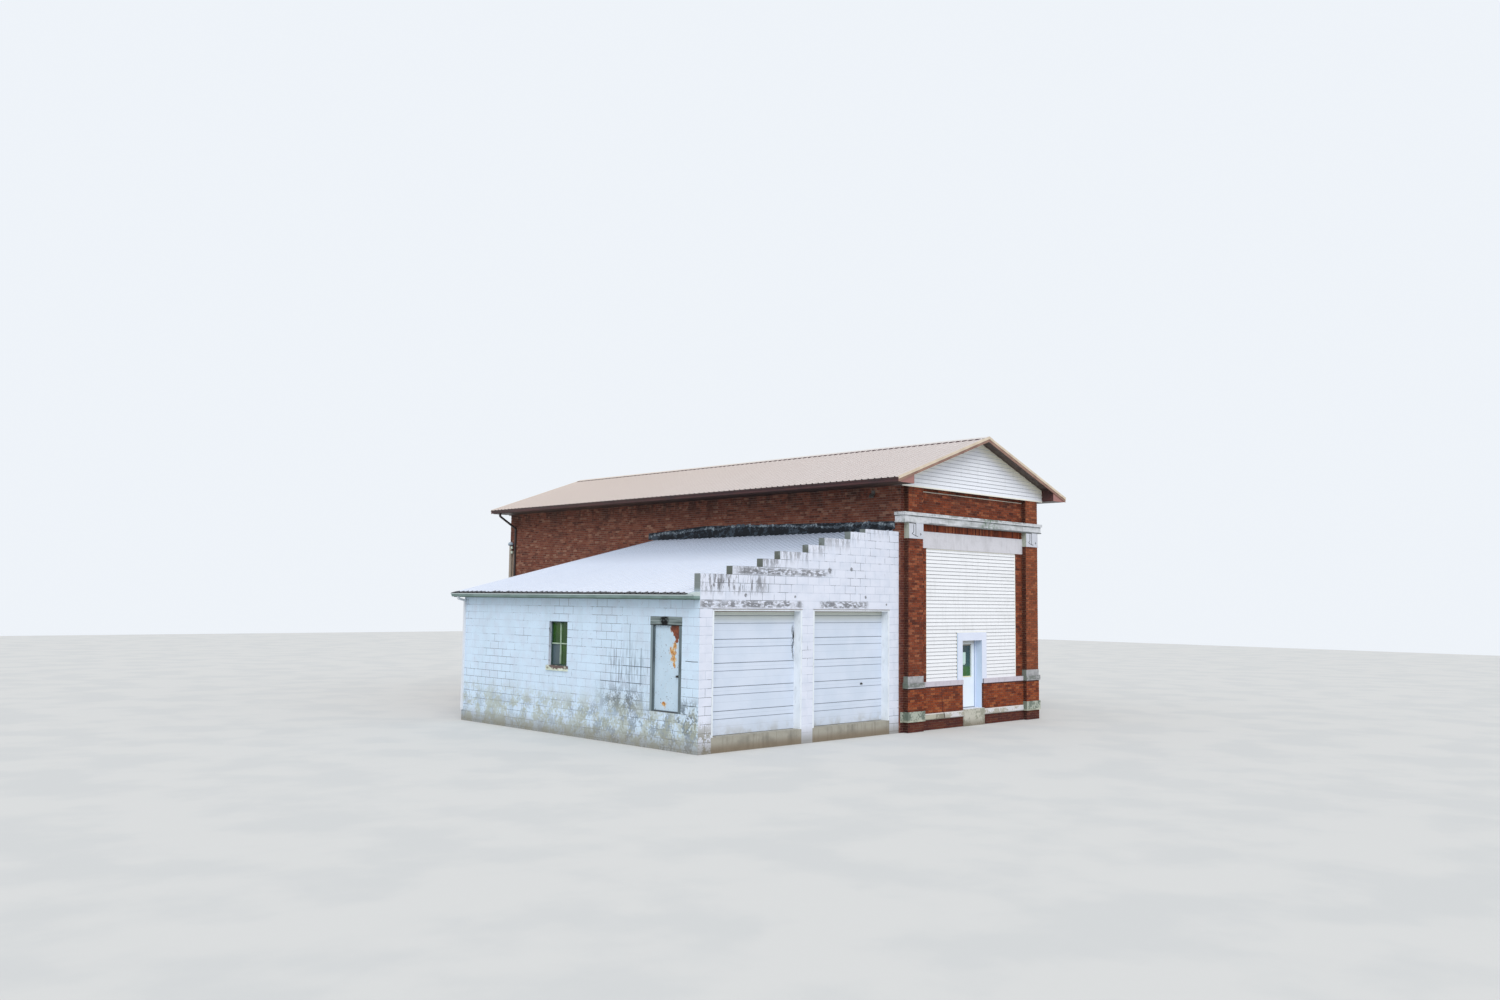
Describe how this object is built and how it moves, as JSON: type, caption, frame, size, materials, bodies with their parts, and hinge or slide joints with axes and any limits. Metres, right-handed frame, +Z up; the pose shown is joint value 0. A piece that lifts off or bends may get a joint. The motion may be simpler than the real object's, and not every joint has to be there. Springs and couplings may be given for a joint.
{
  "type": "small-town bank building with garage annex",
  "caption": "Gabled brick bank hall with stone-trimmed pilasters and a lower block garage annex with a stepped parapet; two hinged doors.",
  "frame": {"origin": "middle of the building's plan box, at the lowest ground level", "axes": "+Y from the street front to the rear, +X to the right seen from the street, +Z up"},
  "size_m": [15.3352, 19.943, 8.3912],
  "materials": {
    "brick": "red-brown facing brick with grey mortar",
    "limestone": "pale limestone, stained dark in places",
    "concrete": "weathered concrete",
    "block": "white-painted concrete block, stained and chipped",
    "siding": "cream-white lap siding",
    "roof": "tan ribbed sheet",
    "trim": "tan folded trim",
    "brown": "dark red-brown fascia and gutter",
    "galvanised": "pale ribbed sheet",
    "green": "pale grey-green gutter",
    "white_metal": "white-painted steel",
    "white_wood": "white-painted boards",
    "old_wood": "bare weathered wood",
    "tar": "black tar flashing",
    "glass": "dark window glass",
    "pipe": "dull grey metal pipe",
    "knob": "tarnished knob"
  },
  "bodies": {
    "building": {"bank_floor": "concrete", "bank_left_wall": "brick", "bank_right_wall": "brick", "bank_rear_wall": "brick", "front_foundation": "brick", "front_piers": "brick", "bulkheads": "brick", "base_course": "limestone", "bulkhead_sills": "limestone", "infill_sides": "siding", "infill_top": "siding", "front_wall_top": "brick", "name_panel": "limestone", "pedestals": "brick", "pedestal_stones": "limestone", "pilasters": "brick", "capitals": "limestone", "cornice_band": "limestone", "door_surround": "white_wood", "stoop": "concrete", "roof_left": "roof", "roof_right": "roof", "ridge_cap": "roof", "rake_trims": "trim", "gable_soffits": "brown", "front_gable": "siding", "rear_gable": "siding", "eave_boxes": "brown", "gutter_left": "brown", "gutter_right": "brown", "downspouts": "brown", "service_mast": "pipe", "gable_conduit": "pipe", "floodlight": "pipe", "annex_floor": "concrete", "garage_piers": "block", "stepped_parapet": "block", "annex_side_front": "block", "annex_door_wall": "block", "annex_side_rear": "block", "annex_rear_wall": "block", "annex_roof": "galvanised", "annex_eave_box": "green", "annex_gutter": "green", "annex_downspout": "white_metal", "roof_flashing": "tar", "garage_trims": "white_wood", "garage_door_left": "white_metal", "garage_door_right": "white_metal", "side_door_frame": "old_wood", "side_door_lintel": "old_wood", "window_sill": "concrete", "window_frame": "white_wood", "window_glass": "glass"},
    "entrance_door": {"entrance_door": "white_metal", "entrance_glass": "glass", "entrance_handle": "knob"},
    "side_door": {"side_door": "white_metal", "side_door_knob": "knob"}
  },
  "joints": [
    {"name": "entrance_hinge", "type": "hinge", "parent": "building", "child": "entrance_door", "pos_m": [3.7981, -9.0825, 1.46], "axis": [0, 0, -1], "range_deg": [0, 90]},
    {"name": "side_door_hinge", "type": "hinge", "parent": "building", "child": "side_door", "pos_m": [-7.2146, -7.683, 1.8924], "axis": [0, 0, 1], "range_deg": [0, 90]}
  ]
}
